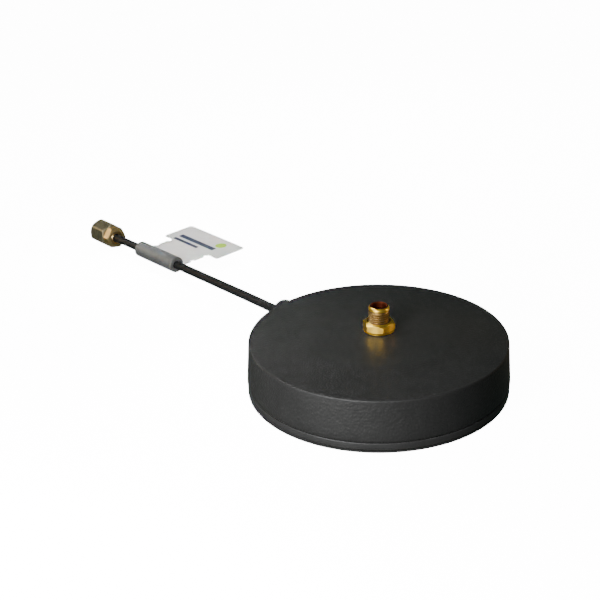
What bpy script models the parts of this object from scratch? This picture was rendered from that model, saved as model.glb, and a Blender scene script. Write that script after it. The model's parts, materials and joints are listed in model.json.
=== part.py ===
"""Magnetic antenna base: a low round housing with an SMA jack on top and a coax pigtail.

Blender 4.5, metres, +Z up. The origin is on the housing's axis at the underside of its pad.
The pigtail leaves the wall towards -X and ends in an SMA plug that lies on the table.
Dimensions below are in millimetres; MM turns them into metres.
"""

import math

import bmesh
import bpy
from mathutils import Matrix, Vector

MM = 0.001
MERGE_DISTANCE = 0.00001
CREASE_ANGLE = math.radians(35)
OVERSHOOT = 1.0

# Fits
FIT_GAP = 0.3
WASHER_GAP = 0.2

# Segments of a full turn
BIG_TURN = 60
INNER_TURN = 40
MIDDLE_TURN = 24
SMALL_TURN = 14

# Base: pad, plate and housing
BASE_RADIUS = 40.0
PAD_THICKNESS = 0.5
PULL_NOTCH_RADIUS = 6.5
PULL_NOTCH_CENTRE = 42.5
PLATE_BOTTOM = PAD_THICKNESS + FIT_GAP
PLATE_TOP = 3.0
PLATE_CHAMFER = 0.25
SKIRT_BOTTOM = PLATE_TOP + 0.4
SKIRT_RADIUS = 40.1
RIM_RADIUS = 39.3
RIM_HEIGHT = 16.0
RIM_CHAMFER = 0.4
ZONE_RADIUS = 23.0
ZONE_HEIGHT = 17.5
CROWN_HEIGHT = 18.2
SEAT_RADIUS = 5.8
WALL = 2.0

# Spigot of the plate, inside the housing's skirt, with the groove of the seal ring
SPIGOT_RADIUS = 37.55
SPIGOT_BORE = 35.2
SPIGOT_TOP = 4.95
SEAL_GROOVE_RADIUS = 36.5
SEAL_GROOVE_BOTTOM = 3.3
SEAL_GROOVE_TOP = 4.5
SEAL_RING_RADIUS = 37.65

# Magnet and yoke
MAGNET_BORE = 14.0
MAGNET_RADIUS = 27.6
MAGNET_BOTTOM = 2.3
MAGNET_THICKNESS = 3.3
YOKE_RADIUS = 27.2
YOKE_THICKNESS = 1.0
POCKET_CLEARANCE = 0.6
POCKET_FLOOR = MAGNET_BOTTOM - FIT_GAP

# Screws from below
SCREW_CIRCLE = 31.5
SCREW_COUNT = 4
SCREW_RADIUS = 1.2
SCREW_HEAD_RADIUS = 2.2
SCREW_HEAD_BOTTOM = 0.9
SCREW_HEAD_THICKNESS = 0.9
SCREW_HEAD_CHAMFER = 0.25
SCREW_TIP = 9.5
SCREW_TIP_LENGTH = 1.5
TIP_TAPER = 0.4
SOCKET_FLATS = 2.0
SOCKET_DEPTH = 0.7
BOSS_RADIUS = 2.9
BOSS_TOP = 15.5
PILOT_TOP = 10.5

# Coax
CABLE_RADIUS = 1.5
CABLE_HEIGHT = 8.8
CABLE_BORE = CABLE_RADIUS + FIT_GAP
CORE_RADIUS = 0.5
BRAID_BORE = 0.8
BRAID_RADIUS = 1.2
LEAD_RADIUS = 0.25

# Stripped end of the coax, by distance from the housing's axis
CORE_SPAN = (5.0, 21.7)
BRAID_SPAN = (16.5, 21.7)
CLIP_SPAN = (17.2, 20.2)
CLIP_HALF_WIDTH = 2.4
CLIP_BOTTOM = CABLE_HEIGHT - 0.6
LEAD_ROUTE = (
    (-4.7, 0.0, 8.8),
    (-3.4, 0.0, 8.8),
    (-2.2, 0.0, 8.95),
    (-1.1, 0.0, 9.25),
    (0.0, 0.0, 9.4),
)

# Strain relief, by distance from the housing's axis
RELIEF_FLANGE = (35.0, 36.9)
RELIEF_FLANGE_RADIUS = 3.6
RELIEF_NECK_RADIUS = 2.8
RELIEF_BOSS = (40.05, 45.7)
RELIEF_BOSS_RADIUS = 4.7
RELIEF_TIP_RADIUS = 3.9

# Cable clamp, by distance from the housing's axis
CLAMP_NEAR = 28.6
CLAMP_FAR = 33.0
CLAMP_HALF_WIDTH = 8.5
CLAMP_THICKNESS = 2.8
CLAMP_SCREW_OFFSET = 5.8
CLAMP_SCREW_RADIUS = 0.75
CLAMP_SCREW_HEAD_RADIUS = 1.5
CLAMP_SCREW_HEAD = 1.0
CLAMP_SCREW_CHAMFER = 0.3
CLAMP_SCREW_TIP = 4.6
CLAMP_SCREW_TIP_LENGTH = 0.6
SLOT_WIDTH = 0.5
SLOT_DEPTH = 0.5
SADDLE_ROOT = PLATE_TOP - 0.5

# Jack, SMA interface
THREAD_RADIUS = 3.175
THREAD_CHAMFER = 0.42
THREAD_CLEARANCE = 0.32
JACK_MOUTH = 26.3
JACK_BORE = 2.35
JACK_REFERENCE = JACK_MOUTH - 1.9
JACK_FLANGE_RADIUS = 5.2
JACK_FLANGE_TOP = CROWN_HEIGHT - WALL - 1.3
JACK_FLANGE_BOTTOM = JACK_FLANGE_TOP - 1.8
JACK_TAIL_RADIUS = 2.6
JACK_TAIL_BORE = 1.4
JACK_SEAT = JACK_FLANGE_BOTTOM + 0.4
CONTACT_RADIUS = 0.64
CONTACT_SOCKET = 0.45
CONTACT_SOCKET_DEPTH = 3.0
CONTACT_BOTTOM = 10.0
INSULATOR_BORE = 0.95
JACK_INSULATOR_RADIUS = 2.05
WASHER_RADIUS = 4.75
WASHER_THICKNESS = 0.35
JACK_NUT_FLATS = 8.73
JACK_NUT_THICKNESS = 2.55
JACK_NUT_CORNER_ANGLE = 30
JACK_NUT_TOP_FACE = 3.75
JACK_NUT_BOTTOM_FACE = 4.6
NUT_CONE_SLOPE = 0.58
ORING_RADIUS = 3.95
ORING_SECTION = 0.35

# Junction board
BOARD_TOP = JACK_FLANGE_BOTTOM - 1.1
BOARD_THICKNESS = 1.0
BOARD_X = (-21.0, 6.0)
BOARD_HALF_WIDTH = 7.0

# Plug, by distance from its rear face along its own axis. A corner angle of 0 is straight up.
PLUG_REAR = (-150.8, 4.2, 4.9)
PLUG_BODY_FLATS = 7.6
PLUG_BODY_CORNER_ANGLE = -22
PLUG_BODY_LENGTH = 3.0
PLUG_BODY_REAR_FACE = 3.5
PLUG_BODY_CHAMFER = 0.5
PLUG_REAR_BORE = 2.5
PLUG_REAR_BORE_DEPTH = 1.9
PLUG_FERRULE_LENGTH = 1.6
PLUG_BACK_WALL_END = 3.2
PLUG_INNER_BORE = 1.55
PLUG_NECK_RADIUS = 2.45
PLUG_COLLAR = (6.7, 7.4)
PLUG_COLLAR_RADIUS = 2.85
PLUG_BARREL_RADIUS = 2.28
PLUG_BARREL_BORE = 2.05
PLUG_FRONT = 10.3
PLUG_INSULATOR_RECESS = 0.1
SNAP_GROOVE = (4.4, 5.4)
SNAP_GROOVE_FLOOR = 2.0
SNAP_RING = (4.7, 5.1)
SNAP_RING_RADIUS = 2.95
GASKET = (7.7, 8.3)
GASKET_BORE = PLUG_BARREL_RADIUS + 0.25
GASKET_RADIUS = 2.9
PIN_RADIUS = 0.46
PIN_END = 11.3
PIN_TIP_LENGTH = 0.5
COUPLING_FLATS = 8.7
COUPLING_CORNER_ANGLE = 8
COUPLING_CORNER_RADIUS = 4.85
COUPLING_FRONT_FACE = 4.0
COUPLING_FRONT_SHOULDER = (4.35, 0.2)
COUPLING_FRONT_CHAMFER = 0.8
COUPLING_REAR_FACE = 4.2
COUPLING_REAR_CHAMFER = 0.4
COUPLING_LEAD_IN = 0.3
COUPLING_START = 3.35
COUPLING_END = 12.4
COUPLING_THREAD_RADIUS = 3.2
COUPLING_REAR_BORE = 2.75
COUPLING_SHOULDER = 6.4

# Label round the cable: a sleeve with a flag to one side
LABEL_CENTRE = (-122.65, 4.5, 5.0)
LABEL_LENGTH = 23.7
LABEL_BORE = 1.8
LABEL_RADIUS = 3.0
FLAG_THICKNESS = 0.4
FLAG_ROOT = 2.45
FLAG_NECK_HALF = 11.7
FLAG_HEAD_HALF = 17.0
FLAG_SHOULDER = 14.3
FLAG_UNDERCUT = 0.2
FLAG_END = 28.6
FLAG_OFFSET = 1.45
FLAG_SKEW = 2.4
FLAG_CORNER = 1.2
FLAG_NOTCH_RADIUS = 0.9
FLAG_NOTCHES = (6.6, 12.9)

# The free cable's route from inside the housing to the plug: a stiff coax that is held level at
# its clamp, droops and lands level again in the plug, which lies on the table.
CABLE_ROUTE = (
    (-22.0, 0.0, 8.8),
    (-30.0, 0.0, 8.8),
    (-38.0, 0.0, 8.8),
    (-46.0, 0.0, 8.8),
    (-53.0, 0.1, 8.74),
    (-60.0, 0.4, 8.52),
    (-67.0, 0.88, 8.14),
    (-74.0, 1.5, 7.62),
    (-81.0, 2.2, 7.02),
    (-88.0, 2.95, 6.42),
    (-95.0, 3.6, 5.88),
    (-102.0, 4.1, 5.46),
    (-109.0, 4.4, 5.18),
    (-116.0, 4.52, 5.02),
    (-124.0, 4.55, 4.94),
    (-132.0, 4.5, 4.91),
    (-140.0, 4.4, 4.9),
    (-147.0, 4.25, 4.9),
    (-152.2, 4.2, 4.9),
)
ROUTE_STEPS = 2


def clear_scene():
    """Removes every object that the file starts with."""
    for obj in list(bpy.data.objects):
        bpy.data.objects.remove(obj, do_unlink=True)


def new_collection(name):
    collection = bpy.data.collections.new(name)
    bpy.context.scene.collection.children.link(collection)
    return collection


def plain_material(name, colour, roughness, metallic=0.0):
    material = bpy.data.materials.new(name)
    material.use_nodes = True
    shader = material.node_tree.nodes["Principled BSDF"]
    shader.inputs["Base Color"].default_value = (*colour, 1.0)
    shader.inputs["Roughness"].default_value = roughness
    shader.inputs["Metallic"].default_value = metallic
    return material


def object_of(bm, name):
    """Makes an object from a bmesh and frees the bmesh."""
    mesh = bpy.data.meshes.new(name)
    bm.to_mesh(mesh)
    bm.free()
    return bpy.data.objects.new(name, mesh)


def turned(name, profile, segments, ring=True):
    """A solid turned about its own Z axis.

    The profile's (radius, height) points run down the outer side. A ring's profile is a closed
    loop; otherwise its two ends lie on the axis.
    """
    points = [(radius * MM, 0.0, height * MM) for radius, height in profile]
    edges = [(i, i + 1) for i in range(len(points) - 1)]
    if ring:
        edges.append((len(points) - 1, 0))
    mesh = bpy.data.meshes.new(name)
    mesh.from_pydata(points, edges, [])
    obj = bpy.data.objects.new(name, mesh)
    screw = obj.modifiers.new("Turn", "SCREW")
    screw.steps = segments
    screw.render_steps = segments
    screw.use_merge_vertices = True
    screw.merge_threshold = MERGE_DISTANCE
    return obj


def plain_ring(name, bore, radius, bottom, top, segments):
    """A ring with a rectangular section."""
    return turned(name, [(bore, top), (radius, top), (radius, bottom), (bore, bottom)], segments)


def prism(name, across_flats, bottom, top, corner_angle=0.0):
    """A hexagonal prism along Z with one corner at the given angle from +X."""
    bm = bmesh.new()
    corner = across_flats / math.sqrt(3) * MM
    bmesh.ops.create_cone(
        bm,
        cap_ends=True,
        segments=6,
        radius1=corner,
        radius2=corner,
        depth=(top - bottom) * MM,
    )
    first = min(bm.verts, key=lambda vert: abs(math.atan2(vert.co.y, vert.co.x)))
    turn = math.radians(corner_angle) - math.atan2(first.co.y, first.co.x)
    bm.transform(Matrix.Translation((0, 0, (bottom + top) / 2 * MM)) @ Matrix.Rotation(turn, 4, "Z"))
    return object_of(bm, name)


def cylinder(name, radius, start, end, segments=SMALL_TURN):
    """A round bar between two points given in millimetres."""
    start = Vector(start) * MM
    end = Vector(end) * MM
    bm = bmesh.new()
    bmesh.ops.create_cone(
        bm,
        cap_ends=True,
        segments=segments,
        radius1=radius * MM,
        radius2=radius * MM,
        depth=(end - start).length,
    )
    turn = (end - start).to_track_quat("Z", "Y").to_matrix().to_4x4()
    bm.transform(Matrix.Translation((start + end) / 2) @ turn)
    return object_of(bm, name)


def box(name, low, high):
    """A block between two corners given in millimetres."""
    low = Vector(low) * MM
    high = Vector(high) * MM
    bm = bmesh.new()
    bmesh.ops.create_cube(bm, size=1.0)
    bm.transform(Matrix.Translation((low + high) / 2) @ Matrix.Diagonal((*(high - low), 1.0)))
    return object_of(bm, name)


def combine(obj, tool, operation):
    """Adds a Boolean with a hidden tool object."""
    CUTTERS.objects.link(tool)
    tool.hide_render = True
    tool.display_type = "WIRE"
    boolean = obj.modifiers.new(operation.title(), "BOOLEAN")
    boolean.operation = operation
    boolean.object = tool
    return obj


def cut(obj, tool):
    return combine(obj, tool, "DIFFERENCE")


def finished(obj, material, parent=None):
    """Links a piece, turns its modifiers into mesh and shades its round faces smooth."""
    PARTS.objects.link(obj)
    obj.parent = parent
    bpy.context.view_layer.update()
    graph = bpy.context.evaluated_depsgraph_get()
    mesh = bpy.data.meshes.new_from_object(obj.evaluated_get(graph))
    mesh.name = obj.name
    mesh.shade_smooth()
    mesh.set_sharp_from_angle(angle=CREASE_ANGLE)
    obj.modifiers.clear()
    obj.data = mesh
    obj.data.materials.clear()
    obj.data.materials.append(material)
    return obj


def smooth_route(route_mm, steps):
    """Catmull-Rom points through a route given in millimetres, `steps` to each span."""
    points = [Vector(point) * MM for point in route_mm]
    ends = [2 * points[0] - points[1], *points, 2 * points[-1] - points[-2]]
    route = []
    for before, start, end, after in zip(ends, ends[1:], ends[2:], ends[3:]):
        for i in range(steps):
            t = i / steps
            route.append(
                0.5
                * (
                    2 * start
                    + (end - before) * t
                    + (2 * before - 5 * start + 4 * end - after) * t**2
                    + (3 * start - before - 3 * end + after) * t**3
                )
            )
    return [*route, points[-1]]


def tube(name, points, radius):
    """A closed round tube along points given in metres."""
    curve = bpy.data.curves.new(name, "CURVE")
    curve.dimensions = "3D"
    curve.bevel_depth = radius * MM
    curve.bevel_resolution = 2
    curve.use_fill_caps = True
    spline = curve.splines.new("POLY")
    spline.points.add(len(points) - 1)
    for place, point in zip(spline.points, points):
        place.co = (*point, 1.0)
    return bpy.data.objects.new(name, curve)


def mesh_of_curve(curve_object):
    """Replaces a curve object by the closed mesh that it draws."""
    bpy.context.scene.collection.objects.link(curve_object)
    bpy.context.view_layer.update()
    graph = bpy.context.evaluated_depsgraph_get()
    mesh = bpy.data.meshes.new_from_object(curve_object.evaluated_get(graph))
    bm = bmesh.new()
    bm.from_mesh(mesh)
    bmesh.ops.remove_doubles(bm, verts=bm.verts, dist=MERGE_DISTANCE)
    bmesh.ops.recalc_face_normals(bm, faces=bm.faces)
    bm.to_mesh(mesh)
    bm.free()
    name = curve_object.name
    place = curve_object.matrix_world.copy()
    bpy.data.objects.remove(curve_object)
    obj = bpy.data.objects.new(name, mesh)
    obj.matrix_world = place
    return obj


def arc(centre, radius, start, end, steps):
    """Points (across, up) on an arc, angles in degrees."""
    angles = [math.radians(start + (end - start) * i / steps) for i in range(steps + 1)]
    return [(centre[0] + radius * math.cos(a), centre[1] + radius * math.sin(a)) for a in angles]


def around_axis(count, radius, first_angle):
    """Places spaced evenly on a circle, in millimetres."""
    for i in range(count):
        angle = math.radians(first_angle + 360 * i / count)
        yield radius * math.cos(angle), radius * math.sin(angle)


def make_base_pad(material):
    pad = turned(
        "base_pad",
        [(0, PAD_THICKNESS), (BASE_RADIUS, PAD_THICKNESS), (BASE_RADIUS, 0), (0, 0)],
        BIG_TURN,
        ring=False,
    )
    low = (0, -PULL_NOTCH_CENTRE, -OVERSHOOT)
    high = (0, -PULL_NOTCH_CENTRE, PAD_THICKNESS + OVERSHOOT)
    cut(pad, cylinder("pull_notch_cutter", PULL_NOTCH_RADIUS, low, high, MIDDLE_TURN))
    return finished(pad, material)


def make_base_plate(material):
    """The lower moulding: a magnet pocket, a spigot with the seal groove and a cable saddle."""
    edge = BASE_RADIUS - PLATE_CHAMFER
    plate = turned(
        "base_plate",
        [
            (0, PLATE_TOP),
            (MAGNET_BORE - POCKET_CLEARANCE, PLATE_TOP),
            (MAGNET_BORE - POCKET_CLEARANCE, POCKET_FLOOR),
            (MAGNET_RADIUS + POCKET_CLEARANCE, POCKET_FLOOR),
            (MAGNET_RADIUS + POCKET_CLEARANCE, PLATE_TOP),
            (SPIGOT_BORE, PLATE_TOP),
            (SPIGOT_BORE, SPIGOT_TOP),
            (SPIGOT_RADIUS, SPIGOT_TOP),
            (SPIGOT_RADIUS, SEAL_GROOVE_TOP),
            (SEAL_GROOVE_RADIUS, SEAL_GROOVE_TOP),
            (SEAL_GROOVE_RADIUS, SEAL_GROOVE_BOTTOM),
            (SPIGOT_RADIUS, SEAL_GROOVE_BOTTOM),
            (SPIGOT_RADIUS, PLATE_TOP),
            (edge, PLATE_TOP),
            (BASE_RADIUS, PLATE_TOP - PLATE_CHAMFER),
            (BASE_RADIUS, PLATE_BOTTOM + PLATE_CHAMFER),
            (edge, PLATE_BOTTOM),
            (0, PLATE_BOTTOM),
        ],
        BIG_TURN,
        ring=False,
    )
    saddle_top = CABLE_HEIGHT - FIT_GAP
    low = (-CLAMP_FAR, -CLAMP_HALF_WIDTH, SADDLE_ROOT)
    high = (-CLAMP_NEAR, CLAMP_HALF_WIDTH, saddle_top)
    combine(plate, box("saddle_block", low, high), "UNION")
    start = (-CLAMP_FAR - OVERSHOOT, 0, CABLE_HEIGHT)
    end = (-CLAMP_NEAR + OVERSHOOT, 0, CABLE_HEIGHT)
    cut(plate, cylinder("saddle_groove_cutter", CABLE_BORE, start, end))
    clamp_x = -(CLAMP_NEAR + CLAMP_FAR) / 2
    for side in (-1, 1):
        place = (clamp_x, side * CLAMP_SCREW_OFFSET)
        start = (*place, CLAMP_SCREW_TIP - 2 * FIT_GAP)
        end = (*place, saddle_top + OVERSHOOT)
        cut(plate, cylinder("saddle_hole_cutter", CLAMP_SCREW_RADIUS + FIT_GAP, start, end))
    head_seat = SCREW_HEAD_BOTTOM + SCREW_HEAD_THICKNESS + FIT_GAP
    for x, y in around_axis(SCREW_COUNT, SCREW_CIRCLE, 45):
        stepped_hole = turned(
            "screw_hole_cutter",
            [
                (0, PLATE_TOP + OVERSHOOT),
                (SCREW_RADIUS + FIT_GAP, PLATE_TOP + OVERSHOOT),
                (SCREW_RADIUS + FIT_GAP, head_seat),
                (SCREW_HEAD_RADIUS + FIT_GAP, head_seat),
                (SCREW_HEAD_RADIUS + FIT_GAP, PLATE_BOTTOM - OVERSHOOT),
                (0, PLATE_BOTTOM - OVERSHOOT),
            ],
            SMALL_TURN,
            ring=False,
        )
        stepped_hole.location = (x * MM, y * MM, 0)
        cut(plate, stepped_hole)
    return finished(plate, material)


def make_top_housing(material):
    """The upper moulding: a tapered wall under a shallow dome, with four screw bosses inside."""
    hole = THREAD_RADIUS + THREAD_CLEARANCE
    housing = turned(
        "top_housing",
        [
            (hole, CROWN_HEIGHT),
            (SEAT_RADIUS, CROWN_HEIGHT),
            (ZONE_RADIUS, ZONE_HEIGHT),
            (RIM_RADIUS - RIM_CHAMFER, RIM_HEIGHT),
            (RIM_RADIUS, RIM_HEIGHT - RIM_CHAMFER),
            (SKIRT_RADIUS, SKIRT_BOTTOM),
            (SKIRT_RADIUS - WALL, SKIRT_BOTTOM),
            (RIM_RADIUS - WALL, RIM_HEIGHT - 1.3 * WALL),
            (RIM_RADIUS - 1.6 * WALL, RIM_HEIGHT - WALL),
            (ZONE_RADIUS, ZONE_HEIGHT - WALL),
            (hole, CROWN_HEIGHT - WALL),
        ],
        BIG_TURN,
    )
    for x, y in around_axis(SCREW_COUNT, SCREW_CIRCLE, 45):
        boss = cylinder("boss", BOSS_RADIUS, (x, y, SKIRT_BOTTOM), (x, y, BOSS_TOP), MIDDLE_TURN)
        combine(housing, boss, "UNION")
        low = (x, y, SKIRT_BOTTOM - OVERSHOOT)
        pilot = cylinder("pilot_cutter", SCREW_RADIUS + FIT_GAP, low, (x, y, PILOT_TOP))
        cut(housing, pilot)
    start = (-RIM_RADIUS + 2 * WALL, 0, CABLE_HEIGHT)
    end = (-SKIRT_RADIUS - OVERSHOOT, 0, CABLE_HEIGHT)
    side_hole = cylinder("side_hole_cutter", RELIEF_NECK_RADIUS + FIT_GAP, start, end, MIDDLE_TURN)
    cut(housing, side_hole)
    return finished(housing, material)


def make_seal_ring(material):
    ring = plain_ring(
        "seal_ring",
        SEAL_GROOVE_RADIUS + FIT_GAP,
        SEAL_RING_RADIUS,
        SEAL_GROOVE_BOTTOM + FIT_GAP,
        SEAL_GROOVE_TOP - FIT_GAP,
        BIG_TURN,
    )
    return finished(ring, material)


def make_magnet_and_yoke(ferrite, steel):
    magnet_top = MAGNET_BOTTOM + MAGNET_THICKNESS
    magnet = plain_ring(
        "ring_magnet", MAGNET_BORE, MAGNET_RADIUS, MAGNET_BOTTOM, magnet_top, INNER_TURN
    )
    finished(magnet, ferrite)
    yoke_bottom = magnet_top + FIT_GAP
    yoke_top = yoke_bottom + YOKE_THICKNESS
    yoke = plain_ring("yoke_plate", MAGNET_BORE, YOKE_RADIUS, yoke_bottom, yoke_top, INNER_TURN)
    finished(yoke, steel)


def make_base_screws(material):
    """Pan-head screws, heads down, with a hexagonal socket."""
    head_top = SCREW_HEAD_BOTTOM + SCREW_HEAD_THICKNESS
    for number, (x, y) in enumerate(around_axis(SCREW_COUNT, SCREW_CIRCLE, 45), 1):
        screw = turned(
            f"base_screw_{number}",
            [
                (0, SCREW_TIP),
                (SCREW_RADIUS * TIP_TAPER, SCREW_TIP),
                (SCREW_RADIUS, SCREW_TIP - SCREW_TIP_LENGTH),
                (SCREW_RADIUS, head_top),
                (SCREW_HEAD_RADIUS, head_top),
                (SCREW_HEAD_RADIUS, SCREW_HEAD_BOTTOM + SCREW_HEAD_CHAMFER),
                (SCREW_HEAD_RADIUS - SCREW_HEAD_CHAMFER, SCREW_HEAD_BOTTOM),
                (0, SCREW_HEAD_BOTTOM),
            ],
            SMALL_TURN,
            ring=False,
        )
        socket_bottom = SCREW_HEAD_BOTTOM - OVERSHOOT
        socket_top = SCREW_HEAD_BOTTOM + SOCKET_DEPTH
        socket = prism("socket_cutter", SOCKET_FLATS, socket_bottom, socket_top)
        screw.location = (x * MM, y * MM, 0)
        socket.location = screw.location
        cut(screw, socket)
        finished(screw, material)


def make_jack(gold, dielectric, rubber):
    """The bulkhead jack: body, insulator, contact, O-ring under the roof, washer and nut on it."""
    body = turned(
        "jack_body",
        [
            (JACK_BORE, JACK_MOUTH),
            (THREAD_RADIUS - THREAD_CHAMFER, JACK_MOUTH),
            (THREAD_RADIUS, JACK_MOUTH - THREAD_CHAMFER),
            (THREAD_RADIUS, JACK_FLANGE_TOP),
            (JACK_FLANGE_RADIUS, JACK_FLANGE_TOP),
            (JACK_FLANGE_RADIUS, JACK_FLANGE_BOTTOM),
            (JACK_TAIL_RADIUS, JACK_FLANGE_BOTTOM),
            (JACK_TAIL_RADIUS, BOARD_TOP + FIT_GAP),
            (JACK_TAIL_BORE, BOARD_TOP + FIT_GAP),
            (JACK_TAIL_BORE, JACK_SEAT),
            (JACK_BORE, JACK_SEAT),
        ],
        MIDDLE_TURN,
    )
    finished(body, gold)
    insulator = plain_ring(
        "jack_insulator",
        INSULATOR_BORE,
        JACK_INSULATOR_RADIUS,
        JACK_SEAT + FIT_GAP,
        JACK_REFERENCE,
        MIDDLE_TURN,
    )
    finished(insulator, dielectric)
    contact = turned(
        "jack_contact",
        [
            (0, JACK_REFERENCE - CONTACT_SOCKET_DEPTH),
            (CONTACT_SOCKET, JACK_REFERENCE - CONTACT_SOCKET_DEPTH),
            (CONTACT_SOCKET, JACK_REFERENCE),
            (CONTACT_RADIUS, JACK_REFERENCE),
            (CONTACT_RADIUS, CONTACT_BOTTOM),
            (0, CONTACT_BOTTOM),
        ],
        SMALL_TURN,
        ring=False,
    )
    finished(contact, gold)
    oring_height = JACK_FLANGE_TOP + FIT_GAP + ORING_SECTION
    section = arc((ORING_RADIUS, oring_height), ORING_SECTION, 90, -225, 7)
    finished(turned("jack_oring", section, MIDDLE_TURN), rubber)

    hole = THREAD_RADIUS + THREAD_CLEARANCE
    washer_bottom = CROWN_HEIGHT + WASHER_GAP
    washer_top = washer_bottom + WASHER_THICKNESS
    washer = plain_ring(
        "jack_washer", hole, WASHER_RADIUS, washer_bottom, washer_top, MIDDLE_TURN
    )
    finished(washer, gold)
    make_jack_nut(washer_top + WASHER_GAP, hole, gold)


def make_jack_nut(bottom, bore, material):
    """The panel nut: a hexagon under a long cone, with its lower corners turned off."""
    top = bottom + JACK_NUT_THICKNESS
    corner = JACK_NUT_FLATS / math.sqrt(3)
    nut = turned(
        "jack_nut",
        [
            (bore, top),
            (JACK_NUT_TOP_FACE, top),
            (corner, top - NUT_CONE_SLOPE * (corner - JACK_NUT_TOP_FACE)),
            (corner, bottom + NUT_CONE_SLOPE * (corner - JACK_NUT_BOTTOM_FACE)),
            (JACK_NUT_BOTTOM_FACE, bottom),
            (bore, bottom),
        ],
        MIDDLE_TURN,
    )
    low = bottom - OVERSHOOT
    high = top + OVERSHOOT
    hexagon = prism("nut_hexagon", JACK_NUT_FLATS, low, high, JACK_NUT_CORNER_ANGLE)
    combine(nut, hexagon, "INTERSECT")
    return finished(nut, material)


def make_board_and_lead(laminate, tin, copper, dielectric):
    """The junction under the jack: board, ground clip, stripped coax and centre lead."""
    board_bottom = BOARD_TOP - BOARD_THICKNESS
    low = (BOARD_X[0], -BOARD_HALF_WIDTH, board_bottom)
    high = (BOARD_X[1], BOARD_HALF_WIDTH, BOARD_TOP)
    board = box("junction_board", low, high)
    low = (0, 0, board_bottom - OVERSHOOT)
    high = (0, 0, BOARD_TOP + OVERSHOOT)
    cut(board, cylinder("board_hole_cutter", CONTACT_RADIUS + FIT_GAP, low, high))
    finished(board, laminate)

    near, far = CLIP_SPAN
    low = (-far, -CLIP_HALF_WIDTH, CLIP_BOTTOM)
    high = (-near, CLIP_HALF_WIDTH, board_bottom - FIT_GAP)
    clip = box("ground_clip", low, high)
    start = (-far - OVERSHOOT, 0, CABLE_HEIGHT)
    end = (-near + OVERSHOOT, 0, CABLE_HEIGHT)
    cut(clip, cylinder("clip_cutter", BRAID_RADIUS + FIT_GAP, start, end))
    finished(clip, tin)

    sleeve = plain_ring("braid_sleeve", BRAID_BORE, BRAID_RADIUS, *BRAID_SPAN, SMALL_TURN)
    lay_along_cable(sleeve)
    finished(sleeve, copper)
    near, far = CORE_SPAN
    core = cylinder("cable_core", CORE_RADIUS, (-far, 0, CABLE_HEIGHT), (-near, 0, CABLE_HEIGHT))
    finished(core, dielectric)
    lead = tube("center_lead", smooth_route(LEAD_ROUTE, ROUTE_STEPS), LEAD_RADIUS)
    finished(mesh_of_curve(lead), copper)


def lay_along_cable(obj):
    """Turns a piece made about Z so that its Z axis is the cable's, pointing away from the base."""
    obj.rotation_euler = (0, math.radians(-90), 0)
    obj.location = (0, 0, CABLE_HEIGHT * MM)


def make_cable_clamp(plastic, steel):
    clamp_x = -(CLAMP_NEAR + CLAMP_FAR) / 2
    top = CABLE_HEIGHT + CLAMP_THICKNESS
    low = (-CLAMP_FAR, -CLAMP_HALF_WIDTH, CABLE_HEIGHT)
    clamp = box("cable_clamp", low, (-CLAMP_NEAR, CLAMP_HALF_WIDTH, top))
    start = (-CLAMP_FAR - OVERSHOOT, 0, CABLE_HEIGHT)
    end = (-CLAMP_NEAR + OVERSHOOT, 0, CABLE_HEIGHT)
    cut(clamp, cylinder("clamp_groove_cutter", CABLE_BORE, start, end))
    for number, side in enumerate((-1, 1), 1):
        place = (clamp_x, side * CLAMP_SCREW_OFFSET)
        low = (*place, CABLE_HEIGHT - OVERSHOOT)
        high = (*place, top + OVERSHOOT)
        cut(clamp, cylinder("clamp_hole_cutter", CLAMP_SCREW_RADIUS + FIT_GAP, low, high))
        head_bottom = top + FIT_GAP
        head_top = head_bottom + CLAMP_SCREW_HEAD
        screw = turned(
            f"clamp_screw_{number}",
            [
                (0, head_top),
                (CLAMP_SCREW_HEAD_RADIUS - CLAMP_SCREW_CHAMFER, head_top),
                (CLAMP_SCREW_HEAD_RADIUS, head_top - CLAMP_SCREW_CHAMFER),
                (CLAMP_SCREW_HEAD_RADIUS, head_bottom),
                (CLAMP_SCREW_RADIUS, head_bottom),
                (CLAMP_SCREW_RADIUS, CLAMP_SCREW_TIP + CLAMP_SCREW_TIP_LENGTH),
                (CLAMP_SCREW_RADIUS * TIP_TAPER, CLAMP_SCREW_TIP),
                (0, CLAMP_SCREW_TIP),
            ],
            SMALL_TURN,
            ring=False,
        )
        reach = CLAMP_SCREW_HEAD_RADIUS + OVERSHOOT
        low = (-SLOT_WIDTH / 2, -reach, head_top - SLOT_DEPTH)
        slot = box("slot_cutter", low, (SLOT_WIDTH / 2, reach, head_top + OVERSHOOT))
        screw.location = (place[0] * MM, place[1] * MM, 0)
        slot.location = screw.location
        cut(screw, slot)
        finished(screw, steel)
    finished(clamp, plastic)


def make_strain_relief(material):
    """A grommet that clasps the wall and ends in a rounded boss outside."""
    flange_near, flange_far = RELIEF_FLANGE
    boss_near, boss_far = RELIEF_BOSS
    shoulder = RELIEF_BOSS_RADIUS - RELIEF_TIP_RADIUS
    relief = turned(
        "strain_relief",
        [
            (CABLE_BORE, boss_far),
            *arc((RELIEF_TIP_RADIUS, boss_far - shoulder), shoulder, 90, 0, 4),
            (RELIEF_BOSS_RADIUS, boss_near),
            (RELIEF_NECK_RADIUS, boss_near),
            (RELIEF_NECK_RADIUS, flange_far),
            (RELIEF_FLANGE_RADIUS, flange_far),
            (RELIEF_FLANGE_RADIUS, flange_near),
            (CABLE_BORE, flange_near),
        ],
        MIDDLE_TURN,
    )
    lay_along_cable(relief)
    return finished(relief, material)


def make_cable(material):
    cable = tube("cable", smooth_route(CABLE_ROUTE, ROUTE_STEPS), CABLE_RADIUS)
    return finished(mesh_of_curve(cable), material)


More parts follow.
